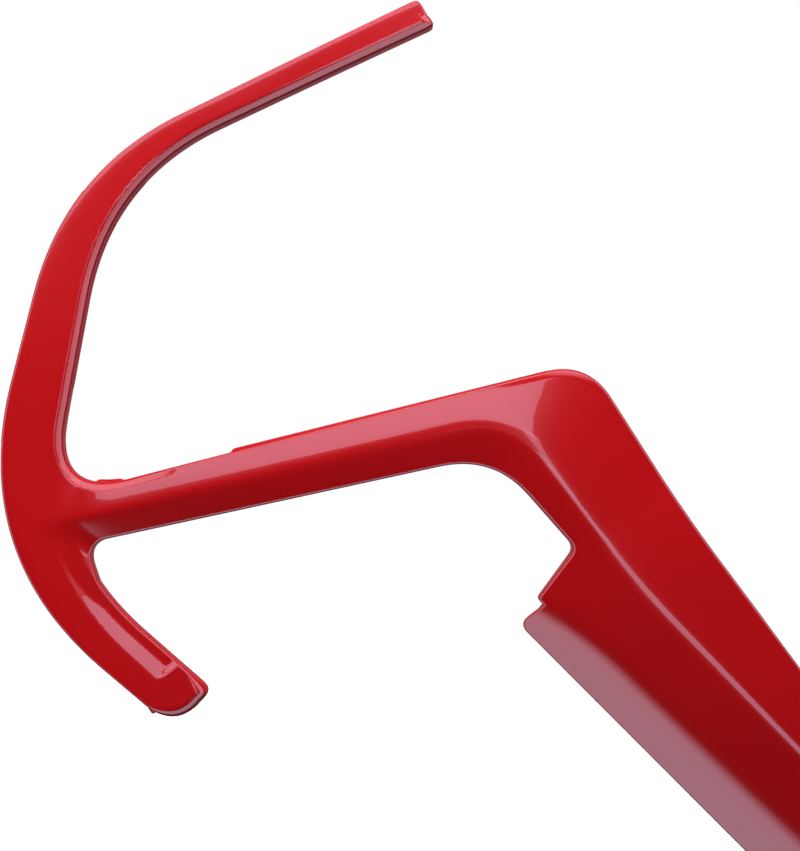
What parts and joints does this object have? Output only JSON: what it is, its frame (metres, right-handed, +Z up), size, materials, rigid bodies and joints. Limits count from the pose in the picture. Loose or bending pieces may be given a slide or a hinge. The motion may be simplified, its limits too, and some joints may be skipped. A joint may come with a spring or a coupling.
{
  "type": "steering wheel trim cover",
  "caption": "Gloss red stick-on trim cover: a thin crowned bow with one angled spoke, on foam tape strips with peel-off liners.",
  "frame": {"origin": "centre of the flat outer face of the liner under the corner, where the branch turns into the leg", "axes": "+X to the driver's right, +Z up in the plane of the wheel, -Y towards the driver"},
  "size_m": [0.157, 0.0115, 0.156],
  "materials": {
    "gloss_red": "high gloss moulded-in red with a clear coat",
    "foam_tape": "closed-cell acrylic foam",
    "release_film": "smooth translucent release film"
  },
  "bodies": {
    "cover": {"trim_cover": "gloss_red", "tape_arm_tip": "foam_tape", "tape_arm": "foam_tape", "tape_shoulder": "foam_tape", "tape_side_upper": "foam_tape", "tape_side_lower": "foam_tape", "tape_hook": "foam_tape", "tape_branch_inner": "foam_tape", "tape_branch_outer": "foam_tape", "tape_corner": "foam_tape", "tape_leg_upper": "foam_tape", "tape_leg_lower": "foam_tape"},
    "liner_arm_tip": {"liner_arm_tip": "release_film"},
    "liner_arm": {"liner_arm": "release_film"},
    "liner_shoulder": {"liner_shoulder": "release_film"},
    "liner_side_upper": {"liner_side_upper": "release_film"},
    "liner_side_lower": {"liner_side_lower": "release_film"},
    "liner_hook": {"liner_hook": "release_film"},
    "liner_branch_inner": {"liner_branch_inner": "release_film"},
    "liner_branch_outer": {"liner_branch_outer": "release_film"},
    "liner_corner": {"liner_corner": "release_film"},
    "liner_leg_upper": {"liner_leg_upper": "release_film"},
    "liner_leg_lower": {"liner_leg_lower": "release_film"}
  },
  "joints": [
    {"name": "peel_arm_tip", "type": "hinge", "parent": "cover", "child": "liner_arm_tip", "pos_m": [-0.04078, 0.00328, 0.06822], "axis": [-0.4309, 0.0876, 0.8981], "range_deg": [0, 120]},
    {"name": "peel_arm", "type": "hinge", "parent": "cover", "child": "liner_arm", "pos_m": [-0.06474, 0.00383, 0.05651], "axis": [-0.4376, 0.0877, 0.8949], "range_deg": [0, 120]},
    {"name": "peel_shoulder", "type": "hinge", "parent": "cover", "child": "liner_shoulder", "pos_m": [-0.07941, 0.00428, 0.04249], "axis": [-0.7682, 0.0976, 0.6327], "range_deg": [0, 120]},
    {"name": "peel_side_upper", "type": "hinge", "parent": "cover", "child": "liner_side_upper", "pos_m": [-0.0876, 0.00417, 0.01674], "axis": [-0.9656, 0.0984, 0.2408], "range_deg": [0, 120]},
    {"name": "peel_side_lower", "type": "hinge", "parent": "cover", "child": "liner_side_lower", "pos_m": [-0.08961, 0.00423, -0.00793], "axis": [-0.9934, 0.0984, 0.0593], "range_deg": [0, 120]},
    {"name": "peel_hook", "type": "hinge", "parent": "cover", "child": "liner_hook", "pos_m": [-0.08001, 0.00368, -0.0252], "axis": [0.8237, -0.0889, 0.5601], "range_deg": [0, 120]},
    {"name": "peel_branch_inner", "type": "hinge", "parent": "cover", "child": "liner_branch_inner", "pos_m": [-0.04671, 0.00094, -0.00162], "axis": [0.2336, -0.0104, -0.9723], "range_deg": [0, 120]},
    {"name": "peel_branch_outer", "type": "hinge", "parent": "cover", "child": "liner_branch_outer", "pos_m": [-0.01848, -0.00008, 0.00516], "axis": [0.2336, -0.0104, -0.9723], "range_deg": [0, 120]},
    {"name": "peel_corner", "type": "hinge", "parent": "cover", "child": "liner_corner", "pos_m": [0.0042, -0.0002, -0.0056], "axis": [-0.8, 0, -0.6], "range_deg": [0, 120]},
    {"name": "peel_leg_upper", "type": "hinge", "parent": "cover", "child": "liner_leg_upper", "pos_m": [0.03037, 0.00081, -0.03125], "axis": [-0.7476, -0.0022, -0.6641], "range_deg": [0, 120]},
    {"name": "peel_leg_lower", "type": "hinge", "parent": "cover", "child": "liner_leg_lower", "pos_m": [0.04839, 0.00264, -0.05405], "axis": [-0.7704, -0.0031, -0.6375], "range_deg": [0, 120]}
  ]
}
